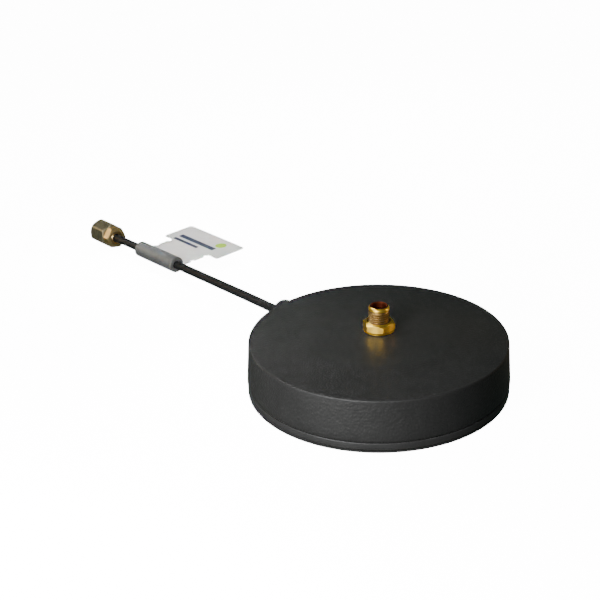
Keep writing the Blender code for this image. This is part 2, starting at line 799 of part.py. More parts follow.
def flag_side(side):
    """One edge of the flag from the sleeve outwards: (along the cable, away from it)."""
    neck = side * FLAG_NECK_HALF
    head = side * FLAG_HEAD_HALF
    points = [(neck, FLAG_ROOT)]
    for height in FLAG_NOTCHES:
        start, end = (-90, -270) if side > 0 else (-90, 90)
        points += arc((neck, height), FLAG_NOTCH_RADIUS, start, end, 6)
    points.append((neck, FLAG_SHOULDER + FLAG_UNDERCUT))
    turn = (-90, 0) if side > 0 else (270, 180)
    points += arc((head - side * FLAG_CORNER, FLAG_SHOULDER + FLAG_CORNER), FLAG_CORNER, *turn, 3)
    turn = (0, 90) if side > 0 else (180, 90)
    points += arc((head - side * FLAG_CORNER, FLAG_END - FLAG_CORNER), FLAG_CORNER, *turn, 3)
    return points


def make_cable_label(material):
    """A sleeve round the cable with a notched flag that stands out level to one side."""
    outline = flag_side(1) + flag_side(-1)[::-1]
    curve = bpy.data.curves.new("flag", "CURVE")
    curve.dimensions = "2D"
    curve.fill_mode = "BOTH"
    curve.extrude = FLAG_THICKNESS / 2 * MM
    spline = curve.splines.new("POLY")
    spline.points.add(len(outline) - 1)
    for place, (along, out) in zip(spline.points, outline):
        slant = FLAG_SKEW * (out - FLAG_ROOT) / (FLAG_END - FLAG_ROOT)
        place.co = ((along + FLAG_OFFSET - slant) * MM, out * MM, 0, 1)
    spline.use_cyclic_u = True
    flag = mesh_of_curve(bpy.data.objects.new("flag", curve))

    half = LABEL_LENGTH / 2
    label = plain_ring("cable_label", LABEL_BORE, LABEL_RADIUS, -half, half, MIDDLE_TURN)
    bpy.context.scene.collection.objects.link(label)
    bpy.context.view_layer.update()
    graph = bpy.context.evaluated_depsgraph_get()
    sleeve = bpy.data.meshes.new_from_object(label.evaluated_get(graph))
    sleeve.transform(Matrix.Rotation(math.radians(90), 4, "Y"))
    bpy.context.scene.collection.objects.unlink(label)
    label.modifiers.clear()
    label.data = sleeve
    label.location = Vector(LABEL_CENTRE) * MM
    flag.location = label.location
    combine(label, flag, "UNION")
    return finished(label, material)


def make_plug(gold, ptfe, steel, rubber):
    """The SMA plug, made about the local Z axis of an empty that lies along the cable's end."""
    axis = bpy.data.objects.new("plug_axis", None)
    PARTS.objects.link(axis)
    axis.location = Vector(PLUG_REAR) * MM
    axis.rotation_euler = (0, math.radians(-90), 0)

    groove_start, groove_end = SNAP_GROOVE
    collar_start, collar_end = PLUG_COLLAR
    corner = PLUG_BODY_FLATS / math.sqrt(3)
    body = turned(
        "plug_body",
        [
            (PLUG_BARREL_BORE, PLUG_FRONT),
            (PLUG_BARREL_RADIUS, PLUG_FRONT),
            (PLUG_BARREL_RADIUS, collar_end),
            (PLUG_COLLAR_RADIUS, collar_end),
            (PLUG_COLLAR_RADIUS, collar_start),
            (PLUG_NECK_RADIUS, collar_start),
            (PLUG_NECK_RADIUS, groove_end),
            (SNAP_GROOVE_FLOOR, groove_end),
            (SNAP_GROOVE_FLOOR, groove_start),
            (PLUG_NECK_RADIUS, groove_start),
            (PLUG_NECK_RADIUS, PLUG_BODY_LENGTH),
            (corner, PLUG_BODY_LENGTH),
            (corner, PLUG_BODY_CHAMFER),
            (PLUG_BODY_REAR_FACE, 0),
            (PLUG_REAR_BORE, 0),
            (PLUG_REAR_BORE, PLUG_REAR_BORE_DEPTH),
            (PIN_RADIUS + FIT_GAP, PLUG_REAR_BORE_DEPTH),
            (PIN_RADIUS + FIT_GAP, PLUG_BACK_WALL_END),
            (PLUG_INNER_BORE, PLUG_BACK_WALL_END),
            (PLUG_INNER_BORE, collar_end),
            (PLUG_BARREL_BORE, collar_end),
        ],
        MIDDLE_TURN,
    )
    flats = prism(
        "wrench_flats",
        PLUG_BODY_FLATS,
        -OVERSHOOT,
        PLUG_FRONT + OVERSHOOT,
        PLUG_BODY_CORNER_ANGLE,
    )
    flats.parent = axis
    combine(body, flats, "INTERSECT")
    finished(body, gold, axis)

    insulator_end = PLUG_FRONT - PLUG_INSULATOR_RECESS
    insulator = turned(
        "plug_insulator",
        [
            (PIN_RADIUS + FIT_GAP, insulator_end),
            (PLUG_BARREL_BORE - FIT_GAP, insulator_end),
            (PLUG_BARREL_BORE - FIT_GAP, collar_end + FIT_GAP),
            (PLUG_INNER_BORE - FIT_GAP, collar_end + FIT_GAP),
            (PLUG_INNER_BORE - FIT_GAP, PLUG_BACK_WALL_END + FIT_GAP),
            (PIN_RADIUS + FIT_GAP, PLUG_BACK_WALL_END + FIT_GAP),
        ],
        SMALL_TURN,
    )
    finished(insulator, ptfe, axis)
    pin = turned(
        "plug_pin",
        [
            (0, PIN_END),
            (PIN_RADIUS * TIP_TAPER, PIN_END),
            (PIN_RADIUS, PIN_END - PIN_TIP_LENGTH),
            (PIN_RADIUS, PLUG_REAR_BORE_DEPTH),
            (0, PLUG_REAR_BORE_DEPTH),
        ],
        SMALL_TURN,
        ring=False,
    )
    finished(pin, gold, axis)
    sleeve = (CABLE_BORE, PLUG_REAR_BORE - FIT_GAP)
    ferrule = plain_ring("plug_ferrule", *sleeve, 0.0, PLUG_FERRULE_LENGTH, SMALL_TURN)
    finished(ferrule, gold, axis)
    ring = (SNAP_GROOVE_FLOOR + FIT_GAP, SNAP_RING_RADIUS)
    finished(plain_ring("plug_snap_ring", *ring, *SNAP_RING, MIDDLE_TURN), steel, axis)
    ring = (GASKET_BORE, GASKET_RADIUS)
    finished(plain_ring("plug_gasket", *ring, *GASKET, MIDDLE_TURN), rubber, axis)
    make_coupling_nut(gold, axis)


def make_coupling_nut(material, axis):
    """The plug's hexagonal nut, with a rounded front, grooved inside for the snap ring."""
    groove_start, groove_end = SNAP_GROOVE
    edge = COUPLING_CORNER_RADIUS
    shoulder_radius, shoulder_depth = COUPLING_FRONT_SHOULDER
    nut = turned(
        "coupling_nut",
        [
            (COUPLING_THREAD_RADIUS + COUPLING_LEAD_IN, COUPLING_END),
            (COUPLING_FRONT_FACE, COUPLING_END),
            (shoulder_radius, COUPLING_END - shoulder_depth),
            (edge, COUPLING_END - COUPLING_FRONT_CHAMFER),
            (edge, COUPLING_START + COUPLING_REAR_CHAMFER),
            (COUPLING_REAR_FACE, COUPLING_START),
            (COUPLING_REAR_BORE, COUPLING_START),
            (COUPLING_REAR_BORE, groove_start),
            (COUPLING_THREAD_RADIUS, groove_start),
            (COUPLING_THREAD_RADIUS, groove_end),
            (COUPLING_REAR_BORE, groove_end),
            (COUPLING_REAR_BORE, COUPLING_SHOULDER),
            (COUPLING_THREAD_RADIUS, COUPLING_SHOULDER),
            (COUPLING_THREAD_RADIUS, COUPLING_END - COUPLING_LEAD_IN),
        ],
        MIDDLE_TURN,
    )
    high = COUPLING_END + OVERSHOOT
    hexagon = prism("coupling_hexagon", COUPLING_FLATS, 0, high, COUPLING_CORNER_ANGLE)
    hexagon.parent = axis
    combine(nut, hexagon, "INTERSECT")
    finished(nut, material, axis)


clear_scene()
PARTS = new_collection("magnetic_antenna_base")
CUTTERS = new_collection("cutters")

housing_plastic = plain_material("housing_plastic", (0.022, 0.022, 0.022), 0.55)
plate_plastic = plain_material("plate_plastic", (0.016, 0.016, 0.017), 0.5)
pad_rubber = plain_material("pad_rubber", (0.012, 0.012, 0.012), 0.8)
relief_rubber = plain_material("relief_rubber", (0.018, 0.018, 0.018), 0.6)
seal_rubber = plain_material("seal_rubber", (0.02, 0.02, 0.02), 0.7)
ferrite = plain_material("ferrite", (0.06, 0.06, 0.065), 0.6)
steel = plain_material("steel", (0.56, 0.57, 0.58), 0.35, 1.0)
gold = plain_material("gold_plate", (0.83, 0.58, 0.22), 0.22, 1.0)
ptfe = plain_material("ptfe", (0.85, 0.84, 0.8), 0.4)
amber = plain_material("amber_plastic", (0.09, 0.03, 0.012), 0.35)
laminate = plain_material("laminate", (0.03, 0.16, 0.07), 0.45)
tin = plain_material("tin", (0.7, 0.7, 0.68), 0.3, 1.0)
copper = plain_material("copper", (0.72, 0.36, 0.2), 0.3, 1.0)
clamp_plastic = plain_material("clamp_plastic", (0.05, 0.05, 0.05), 0.5)
cable_jacket = plain_material("cable_jacket", (0.014, 0.014, 0.015), 0.45)
label_film = plain_material("label_film", (0.62, 0.6, 0.58), 0.4)

make_base_pad(pad_rubber)
make_base_plate(plate_plastic)
make_top_housing(housing_plastic)
make_seal_ring(seal_rubber)
make_magnet_and_yoke(ferrite, steel)
make_base_screws(steel)
make_jack(gold, amber, seal_rubber)
make_board_and_lead(laminate, tin, copper, ptfe)
make_cable_clamp(clamp_plastic, steel)
make_strain_relief(relief_rubber)
make_cable(cable_jacket)
make_cable_label(label_film)
make_plug(gold, ptfe, steel, seal_rubber)
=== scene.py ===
"""Looks of the magnetic antenna base: fine surfaces, materials, light and camera.

Metres, +Z up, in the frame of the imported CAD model. Section dimensions are in millimetres and
MM turns them into metres. Turned pieces are made about their own Z axis and then laid in place.
"""

import json
import math

import bmesh
import bpy
from mathutils import Matrix, Vector


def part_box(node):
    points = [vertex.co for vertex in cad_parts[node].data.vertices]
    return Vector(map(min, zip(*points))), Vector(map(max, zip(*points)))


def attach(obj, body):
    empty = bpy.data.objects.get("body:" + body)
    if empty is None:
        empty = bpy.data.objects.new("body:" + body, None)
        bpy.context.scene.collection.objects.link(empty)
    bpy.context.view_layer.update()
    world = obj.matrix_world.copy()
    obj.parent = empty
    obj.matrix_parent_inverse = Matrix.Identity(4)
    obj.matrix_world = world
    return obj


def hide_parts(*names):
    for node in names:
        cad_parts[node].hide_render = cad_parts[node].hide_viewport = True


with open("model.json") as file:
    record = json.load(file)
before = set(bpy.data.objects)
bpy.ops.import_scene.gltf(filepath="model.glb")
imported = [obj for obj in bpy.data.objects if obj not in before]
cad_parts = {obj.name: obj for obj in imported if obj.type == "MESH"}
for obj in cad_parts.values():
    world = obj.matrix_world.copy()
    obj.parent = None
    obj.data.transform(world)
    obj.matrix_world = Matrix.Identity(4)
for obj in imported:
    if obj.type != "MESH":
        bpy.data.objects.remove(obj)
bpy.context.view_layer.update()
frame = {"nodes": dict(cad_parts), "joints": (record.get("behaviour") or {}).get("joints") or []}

MM = 0.001
FULL_TURN = 2 * math.pi
BODY = "base"
SPINNING_BODY = "coupling_nut"

# Steps round a full turn. Those of a hexagon divide by six.
ROUND = 256
TURNED = 120
HEXAGONAL = 120

# Meshes are shaded smooth up to this edge angle, in degrees
SHARP_ANGLE = 32

# Camera: metres, degrees, and mm for the lens and its sensor
CAMERA_AZIMUTH = 45.0
CAMERA_PITCH = 24.6
CAMERA_DISTANCE = 0.2974
CAMERA_SIDE = -0.00087
CAMERA_HEIGHT = 0.1642
CAMERA_LENS = 66.0
CAMERA_SENSOR = 36.0
CAMERA_SHIFT = -0.1267

# Lights: name, place, target and size in metres, watts, full beam angle in degrees, colour
WHITE = (1.0, 1.0, 1.0)
LIGHTS = (
    ("key_light", (0.061, -0.2285, 0.105), (0, 0, 0.012), 0.12, 1.55, 180, WHITE),
    ("left_light", (-0.1, -0.05, 0.16), (-0.03, -0.012, 0.015), 0.03, 0.0175, 44, WHITE),
    ("back_light", (-0.24, 0.22, 0.2), (-0.03, 0, 0.01), 0.12, 0.45, 180, WHITE),
    ("label_light", (-0.135, 0.03, 0.3), (-0.128, 0.012, 0), 0.04, 0.026, 24, WHITE),
    ("plug_light", (-0.42, -0.145, 0.13), (-0.157, 0, 0.005), 0.1, 0.16, 180, (1.0, 0.8, 0.52)),
    ("side_light", (0.1, 0.12, 0.05), (0, 0, 0.02), 0.03, 0.002, 18, (1.0, 0.72, 0.42)),
)
WORLD_COLOUR = (0.78, 1.0, 0.9, 1.0)
WORLD_STRENGTH = 0.1

# Floor in metres, and the ring of backdrop round it in mm
FLOOR_HALF_WIDTH = 4.0
FLOOR_DROP = 0.0001
BACKDROP_RADII = (3000, 3050)
BACKDROP_HEIGHTS = (-1, 2000)

# Coax, in metres: its route from inside the housing to the plug, and the cord's sizes
CABLE_ROUTE = (
    (-0.0220, 0.0, 0.0088),
    (-0.0300, 0.0, 0.0088),
    (-0.0380, 0.0, 0.0088),
    (-0.0460, 0.0, 0.0088),
    (-0.0530, 0.0001, 0.00874),
    (-0.0600, 0.0004, 0.00852),
    (-0.0670, 0.00088, 0.00814),
    (-0.0740, 0.0015, 0.00762),
    (-0.0810, 0.0022, 0.00702),
    (-0.0880, 0.00295, 0.00642),
    (-0.0950, 0.0036, 0.00588),
    (-0.1020, 0.0041, 0.00546),
    (-0.1090, 0.0044, 0.00518),
    (-0.1160, 0.00452, 0.00502),
    (-0.1240, 0.00455, 0.00494),
    (-0.1320, 0.0045, 0.00491),
    (-0.1400, 0.0044, 0.0049),
    (-0.1470, 0.00425, 0.0049),
    (-0.1522, 0.0042, 0.0049),
)
CABLE_STEPS = 6
CABLE_DIAMETER = 0.003

# Base, in mm: housing, screws, plate and pad
CABLE_HEIGHT = 8.8
SKIRT_RADIUS = 40.1
SKIRT_BOTTOM = 3.4
RIM_RADIUS = 39.3
RIM_HEIGHT = 16.0
RIM_ROUND = 0.45
ZONE_RADIUS = 23.0
ZONE_HEIGHT = 17.5
CROWN_HEIGHT = 18.2
SEAT_RADIUS = 5.8
WALL = 2.0
SCREW_CIRCLE = 31.5
SCREW_COUNT = 4
FIRST_SCREW_ANGLE = 45
SCREW_HOLE_RADIUS = 1.5
SCREW_HEAD_RADIUS = 2.5
SCREW_HEAD_SEAT = 2.1
BOSS_RADIUS = 2.9
BOSS_TOP = 15.2
PILOT_TOP = 10.5
SIDE_HOLE_RADIUS = 3.1
PLATE_TOP = 3.0
SADDLE_LOW = (-33.0, -8.5, 2.5)
SADDLE_HIGH = (-28.6, 8.5, 8.5)
CLAMP_SCREW_X = -30.8
CLAMP_SCREW_Y = 5.8
CLAMP_HOLE_RADIUS = 1.05
CABLE_GROOVE_RADIUS = 1.8
PAD_RIBS = (12.0, 22.0, 30.0, 36.5)
PULL_NOTCH_RADIUS = 6.5
PULL_NOTCH_CENTRE = -42.5

# Jack and its nut, in mm
JACK_HOLE = 3.495
JACK_BORE = 2.35
JACK_SEAT = 13.5
JACK_NUT_FLATS = 8.73
JACK_NUT_FACES = (3.77, 4.6)
JACK_NUT_CONE = 0.58

# Plug, in mm from its rear face: wrench body and coupling nut
PLUG_BODY_FLATS = 7.6
PLUG_BODY_TURN = -22
COUPLING_FLATS = 8.7
COUPLING_CORNER = 4.85
COUPLING_TURN = 8
COUPLING_START = 3.35
COUPLING_END = 12.4
COUPLING_THREAD_STOP = 7.7

# SMA threads: 1/4-36, in mm
THREAD_RADIUS = 3.175
THREAD_PITCH = 25.4 / 36
THREAD_DEPTH = 0.4
THREAD_ROWS = 12
INNER_THREAD_RADIUS = 3.2
INNER_THREAD_DEPTH = 0.35


# ---------------------------------------------------------------- meshes


def linked(obj):
    bpy.context.scene.collection.objects.link(obj)
    return obj


def shaded(mesh):
    mesh.shade_smooth()
    mesh.set_sharp_from_angle(angle=math.radians(SHARP_ANGLE))
    return mesh


def object_of(bm, name):
    """An object from a bmesh, which is used up."""
    bmesh.ops.recalc_face_normals(bm, faces=bm.faces)
    mesh = bpy.data.meshes.new(name)
    bm.to_mesh(mesh)
    bm.free()
    return linked(bpy.data.objects.new(name, shaded(mesh)))


def lathe(name, rows, steps=TURNED, solid=False):
    """A body of rings about Z. A row is (radius, height) in mm, or gives that for an angle.

    The rows of a ring-shaped body close on each other; a solid body's two ends are capped.
    """
    bm = bmesh.new()
    rings = []
    for row in rows:
        ring = []
        for i in range(steps):
            angle = FULL_TURN * i / steps
            radius, height = row(angle) if callable(row) else row
            place = (radius * math.cos(angle), radius * math.sin(angle), height)
            ring.append(bm.verts.new(Vector(place) * MM))
        rings.append(ring)
    following = rings[1:] if solid else rings[1:] + rings[:1]
    for ring, other in zip(rings, following):
        for i in range(steps):
            j = (i + 1) % steps
            bm.faces.new((ring[i], ring[j], other[j], other[i]))
    if solid:
        for ring in (rings[0], rings[-1]):
            centre = bm.verts.new(sum((v.co for v in ring), Vector()) / steps)
            for i in range(steps):
                bm.faces.new((ring[i], ring[(i + 1) % steps], centre))
    return object_of(bm, name)


def arc(centre, radius, start, end, steps):
    """(across, up) points on an arc, angles in degrees."""
    angles = [math.radians(start + (end - start) * i / steps) for i in range(steps + 1)]
    return [(centre[0] + radius * math.cos(a), centre[1] + radius * math.sin(a)) for a in angles]


def straight(start, end, steps):
    """(across, up) points along a line, without its end."""
    return [
        (
            start[0] + (end[0] - start[0]) * i / steps,
            start[1] + (end[1] - start[1]) * i / steps,
        )
        for i in range(steps)
    ]


def thread_wave(phase):
    """0 in the root of a thread and 1 on its crest, with short flats on both."""
    root_flat, flank = 0.18, 0.68
    return min(1.0, max(0.0, (abs(2 * (phase % 1.0) - 1) - root_flat) / flank))


def threaded(radius, depth, start, end):
    """Rows of a screw thread from one height to another, in mm, that runs out at both ends."""
    count = math.ceil(abs(end - start) / THREAD_PITCH * THREAD_ROWS)
    fade_per_row = 1.6 / THREAD_ROWS
    rows = []
    for i in range(count + 1):
        height = start + (end - start) * i / count
        fade = min(1.0, fade_per_row * i, fade_per_row * (count - i))

        def row(angle, height=height, fade=fade):
            wave = thread_wave(height / THREAD_PITCH - angle / FULL_TURN)
            return radius - depth * fade * (1 - wave), height

        rows.append(row)
    return rows


def hexagon(across_flats, corner_angle, corner_radius=math.inf):
    """The radius of a hexagon by angle. A corner radius turns its corners off."""

    def radius_at(angle):
        offset = (angle - math.radians(corner_angle)) % (FULL_TURN / 6) - FULL_TURN / 12
        return min(corner_radius, across_flats / 2 / math.cos(offset))

    return radius_at


def hex_rows(radius_at, start, end, start_face, end_face, start_slope, end_slope):
    """Rows along a hexagon's side whose ends are coned, in mm.

    The faces at the ends have the given radii. For every mm outside its face, an end leans
    towards the other one by its slope, which is negative where the rows run downwards.
    """
    rows = [(start_face, start)]
    for face, level, slope in ((start_face, start, start_slope), (end_face, end, -end_slope)):
        rows.append(
            lambda angle, face=face, level=level, slope=slope: (
                max(radius_at(angle), face),
                level + slope * max(0.0, radius_at(angle) - face),
            )
        )
    rows.append((end_face, end))
    return rows


def bevelled(obj, width_mm, angle=30, segments=3):
    """Rounds the sharp edges and keeps flat faces flat."""
    bevel = obj.modifiers.new("Edges", "BEVEL")
    bevel.width = width_mm * MM
    bevel.segments = segments
    bevel.limit_method = "ANGLE"
    bevel.angle_limit = math.radians(angle)
    bevel.harden_normals = True
    return obj


def boolean(obj, tool, operation="DIFFERENCE"):
    """Applies a Boolean with a tool, then removes the tool."""
    modifier = obj.modifiers.new("Boolean", "BOOLEAN")
    modifier.operation = operation
    modifier.object = tool
    mesh = shaded(evaluated_mesh(obj))
    mesh.name = obj.name
    obj.modifiers.clear()
    obj.data = mesh
    bpy.data.objects.remove(tool)


def evaluated_mesh(obj):
    """A new mesh of the object as its modifiers or its curve's settings make it."""
    bpy.context.view_layer.update()
    graph = bpy.context.evaluated_depsgraph_get()
    return bpy.data.meshes.new_from_object(obj.evaluated_get(graph))


def bar(name, radius, start, end, steps=48):
    """A round tool between two points given in mm."""
    start = Vector(start) * MM
    end = Vector(end) * MM
    bm = bmesh.new()
    bmesh.ops.create_cone(
        bm,
        cap_ends=True,
        segments=steps,
        radius1=radius * MM,
        radius2=radius * MM,
        depth=(end - start).length,
    )
    turn = (end - start).to_track_quat("Z", "Y").to_matrix().to_4x4()
    bm.transform(Matrix.Translation((start + end) / 2) @ turn)
    return object_of(bm, name)


def block(name, low, high):
    """A box-shaped tool between two corners given in mm."""
    low = Vector(low) * MM
    high = Vector(high) * MM
    bm = bmesh.new()
    bmesh.ops.create_cube(bm, size=1.0)
    bm.transform(Matrix.Translation((low + high) / 2) @ Matrix.Diagonal((*(high - low), 1.0)))
    return object_of(bm, name)


def shown(obj, material, replaces=(), body=BODY):
    """Gives a finished piece its material and body, and hides the CAD nodes it stands for."""
    obj.data.materials.clear()
    obj.data.materials.append(material)
    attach(obj, body)
    if replaces:
        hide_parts(*replaces)
    return obj


# ---------------------------------------------------------------- materials


def grey(level):
    return (level, level, level)


def feed(tree, socket, value):
    """Links a socket to the one its value comes from, or sets the value."""
    if isinstance(value, bpy.types.NodeSocket):
        tree.links.new(value, socket)
    else:
        socket.default_value = value


def node(tree, kind, inputs=(), **settings):
    """Adds a shader node. Inputs are (socket, value or the socket it comes from)."""
    made = tree.nodes.new(kind)
    for key, value in settings.items():
        setattr(made, key, value)
    for key, value in inputs:
        feed(tree, made.inputs[key], value)
    return made


def ranged(tree, value, low, high, to_low, to_high):
    """Maps a value smoothly from one range to another."""
    return node(
        tree,
        "ShaderNodeMapRange",
        [
            ("Value", value),
            ("From Min", low),
            ("From Max", high),
            ("To Min", to_low),
            ("To Max", to_high),
        ],
        interpolation_type="SMOOTHSTEP",
    ).outputs["Result"]


def math_node(tree, operation, first, second):
    inputs = enumerate((first, second))
    return node(tree, "ShaderNodeMath", inputs, operation=operation).outputs[0]


def noise(tree, place, size_mm, detail=3.0, distortion=0.0):
    return node(
        tree,
        "ShaderNodeTexNoise",
        [
            ("Vector", place),
            ("Scale", 1 / (size_mm * MM)),
            ("Detail", detail),
            ("Distortion", distortion),
        ],
    ).outputs["Fac"]


def cells(tree, place, size_mm):
    """Rounded pebbles, as on a textured mould."""
    return node(
        tree,
        "ShaderNodeTexVoronoi",
        [("Vector", place), ("Scale", 1 / (size_mm * MM)), ("Smoothness", 0.6)],
        feature="SMOOTH_F1",
    ).outputs["Distance"]


def mixed(tree, share, first, second):
    """A colour between two, by a share."""
    made = tree.nodes.new("ShaderNodeMix")
    made.data_type = "RGBA"
    tree.links.new(share, made.inputs["Factor"])
    for key, value in (("A", first), ("B", second)):
        socket = next(s for s in made.inputs if s.name == key and s.type == "RGBA")
        feed(tree, socket, value if isinstance(value, bpy.types.NodeSocket) else (*value, 1.0))
    return next(s for s in made.outputs if s.type == "RGBA")


def polar(tree, place):
    """The distance from the object's axis and the height."""
    parts = node(tree, "ShaderNodeSeparateXYZ", [("Vector", place)]).outputs
    across = node(tree, "ShaderNodeCombineXYZ", [("X", parts["X"]), ("Y", parts["Y"])])
    length = node(
        tree, "ShaderNodeVectorMath", [(0, across.outputs["Vector"])], operation="LENGTH"
    )
    return length.outputs["Value"], parts["Z"]


def bumped(tree, height, depth_mm, strength=1.0, normal=None):
    inputs = [("Height", height), ("Distance", depth_mm * MM), ("Strength", strength)]
    if normal is not None:
        inputs.append(("Normal", normal))
    return node(tree, "ShaderNodeBump", inputs).outputs["Normal"]


def started(name, metallic=0.0, specular=0.5, coat=0.0, coat_roughness=0.1):
    """A new material: its tree, its shader and its object coordinates."""
    material = bpy.data.materials.new(name)
    material.use_nodes = True
    tree = material.node_tree
    shader = tree.nodes["Principled BSDF"]
    shader.inputs["Metallic"].default_value = metallic
    shader.inputs["Specular IOR Level"].default_value = specular
    shader.inputs["Coat Weight"].default_value = coat
    shader.inputs["Coat Roughness"].default_value = coat_roughness
    place = tree.nodes.new("ShaderNodeTexCoord").outputs["Object"]
    return material, tree, shader, place


def connect(tree, shader, colour, roughness, normal):
    tree.links.new(colour, shader.inputs["Base Color"])
    tree.links.new(roughness, shader.inputs["Roughness"])
    tree.links.new(normal, shader.inputs["Normal"])


def wear_and_highlight(tree, colour, wear_and_highlight_colour, amount):
    """Lightens convex edges: wear from handling, and a painted highlight along the rim and other
    edges.
    """
    edge = tree.nodes.new("ShaderNodeNewGeometry").outputs["Pointiness"]
    share = ranged(tree, edge, 0.52, 0.6, 0.0, amount)
    return mixed(tree, share, colour, wear_and_highlight_colour)


def moulded(name, dark, light, roughness, grain_mm, depth_mm, zone_mm=None):
    """Textured moulded plastic or rubber: pebbled grain, faint mottling, and edges lightened both
    for wear and as a painted highlight.

    A zone is a (radius, height): the grain is shallower inside the radius and above the height.
    """
    material, tree, shader, place = started(name, specular=0.35)
    mottle = noise(tree, place, 9.0, 4.0, 0.4)
    speckle = noise(tree, place, 0.35, 2.0)
    colour = mixed(tree, ranged(tree, mottle, 0.35, 0.65, 0.0, 1.0), dark, light)
    colour = mixed(tree, ranged(tree, speckle, 0.62, 0.8, 0.0, 0.35), colour, light)
    # Convex edges are lightened: wear, and a painted highlight along the rim
    colour = wear_and_highlight(tree, colour, [min(1.0, 2.2 * c + 0.004) for c in light], 0.35)
    strength = 1.0
    roughly = ranged(tree, mottle, 0.3, 0.7, *roughness)
    if zone_mm is not None:
        edge, top = (size * MM for size in zone_mm)
        inner, outer = edge - 1.2 * MM, edge + 1.2 * MM
        distance, height = polar(tree, place)
        outside = ranged(tree, distance, inner, outer, 0.5, 1.0)
        below = ranged(tree, height, top - 0.6 * MM, top, 1.5, 0.6)
        strength = math_node(tree, "MULTIPLY", outside, below)
        gloss = ranged(tree, distance, inner, outer, -0.03, 0.0)
        roughly = math_node(tree, "ADD", roughly, gloss)
    pebbles = cells(tree, place, grain_mm)
    creases = noise(tree, place, 1.7 * grain_mm, 4.0, 1.2)
    normal = bumped(tree, pebbles, depth_mm, strength)
    normal = bumped(tree, creases, 1.5 * depth_mm, strength, normal)
    connect(tree, shader, colour, roughly, normal)
    return material


def plated(name, bright, deep, roughness, tarnish=0.5):
    """Plated turned metal: fine turning marks, patches of darker film and dull handled spots."""
    material, tree, shader, place = started(name, metallic=1.0)
    film = noise(tree, place, 1.6, 4.0, 0.6)
    smudge = noise(tree, place, 0.5, 3.0)
    colour = mixed(tree, ranged(tree, film, 0.42, 0.75, 0.0, tarnish), bright, deep)
    distance, height = polar(tree, place)
    around = node(tree, "ShaderNodeCombineXYZ", [("X", distance), ("Z", height)])
    turning = noise(tree, around.outputs["Vector"], 0.12, 2.0)
    roughly = ranged(tree, smudge, 0.3, 0.75, *roughness)
    normal = bumped(tree, turning, 0.0006, 0.6)
    connect(tree, shader, colour, roughly, normal)
    return material


def plain(name, first, second, roughness, grain_mm, depth_mm, metallic=0.0):
    """A simple mottled and lightly grained finish, for inner pieces and print."""
    material, tree, shader, place = started(name, metallic=metallic)
    patches = noise(tree, place, 3.0, 4.0, 0.3)
    colour = mixed(tree, ranged(tree, patches, 0.35, 0.65, 0.0, 1.0), first, second)
    roughly = ranged(tree, patches, 0.3, 0.7, *roughness)
    normal = bumped(tree, noise(tree, place, grain_mm, 3.0), depth_mm, 0.8)
    connect(tree, shader, colour, roughly, normal)
    return material


def jacketed(name):
    """Extruded cable jacket: satin, with faint draw lines along the cable and scuffs."""
    material, tree, shader, place = started(name, specular=0.25)
    stretched = node(
        tree, "ShaderNodeMapping", [("Vector", place), ("Scale", (0.04, 1.0, 1.0))]
    ).outputs["Vector"]
    lines = noise(tree, stretched, 0.25, 3.0)
    scuffs = noise(tree, place, 2.2, 4.0, 0.8)
    scuffed = ranged(tree, scuffs, 0.5, 0.8, 0.0, 1.0)
    colour = mixed(tree, scuffed, (0.008, 0.0085, 0.0085), (0.015, 0.0155, 0.0155))
    roughly = ranged(tree, scuffs, 0.35, 0.75, 0.4, 0.55)
    normal = bumped(tree, lines, 0.02, 0.7)
    normal = bumped(tree, noise(tree, place, 0.3, 2.0), 0.01, 0.5, normal)
    connect(tree, shader, colour, roughly, normal)
    return material


def filmed(name, first, second, roughness):
    """Label film: slightly cloudy, with a soft sheen and faint ripples."""
    material, tree, shader, place = started(name, coat=0.15, coat_roughness=0.25)
    shader.inputs["Subsurface Weight"].default_value = 0.1
    shader.inputs["Subsurface Scale"].default_value = 0.4 * MM
    cloud = noise(tree, place, 5.0, 4.0, 0.5)
    fibre = noise(tree, place, 0.18, 3.0)
    colour = mixed(tree, ranged(tree, cloud, 0.35, 0.7, 0.0, 1.0), first, second)
    roughly = ranged(tree, fibre, 0.3, 0.7, *roughness)
    normal = bumped(tree, cloud, 0.12, 0.6)
    normal = bumped(tree, fibre, 0.01, 0.5, normal)
    connect(tree, shader, colour, roughly, normal)
    return material


def floor_finish():
    """White enough to fill the picture; make_studio keeps it from lighting the piece."""
    material, tree, shader, place = started("floor_finish", specular=0.1)
    shader.inputs["Emission Color"].default_value = (1.0, 1.0, 1.0, 1.0)
    shader.inputs["Emission Strength"].default_value = 14.0
    tint = noise(tree, place, 60.0, 3.0)
    colour = mixed(tree, tint, grey(0.93), grey(0.96))
    roughly = ranged(tree, tint, 0.3, 0.7, 0.8, 0.9)
    connect(tree, shader, colour, roughly, bumped(tree, noise(tree, place, 0.8), 0.01, 0.3))
    return material


# ---------------------------------------------------------------- camera, light and floor


def make_camera():
    """Stands away from the axis by a side and a ground distance, as seen along the azimuth."""
    azimuth = math.radians(CAMERA_AZIMUTH)
    right = Vector((math.cos(azimuth), math.sin(azimuth), 0))
    away = Vector((-math.sin(azimuth), math.cos(azimuth), 0))
    data = bpy.data.cameras.new("camera")
    data.lens = CAMERA_LENS
    data.sensor_width = CAMERA_SENSOR
    data.shift_x = CAMERA_SHIFT
    data.clip_start = 0.01
    camera = linked(bpy.data.objects.new("camera", data))
    camera.location = CAMERA_SIDE * right - CAMERA_DISTANCE * away
    camera.location.z = CAMERA_HEIGHT
    camera.rotation_euler = (math.radians(90 - CAMERA_PITCH), 0, azimuth)
    bpy.context.scene.camera = camera


def make_area_light(name, place, target, size, watts, beam, colour):
    """A square light aimed at a target."""
    data = bpy.data.lights.new(name, "AREA")
    data.size = size
    data.energy = watts
    data.spread = math.radians(beam)
    data.color = colour
    light = linked(bpy.data.objects.new(name, data))
    light.visible_camera = False
    light.location = place
    light.rotation_euler = (Vector(target) - Vector(place)).to_track_quat("-Z", "Y").to_euler()
    return light


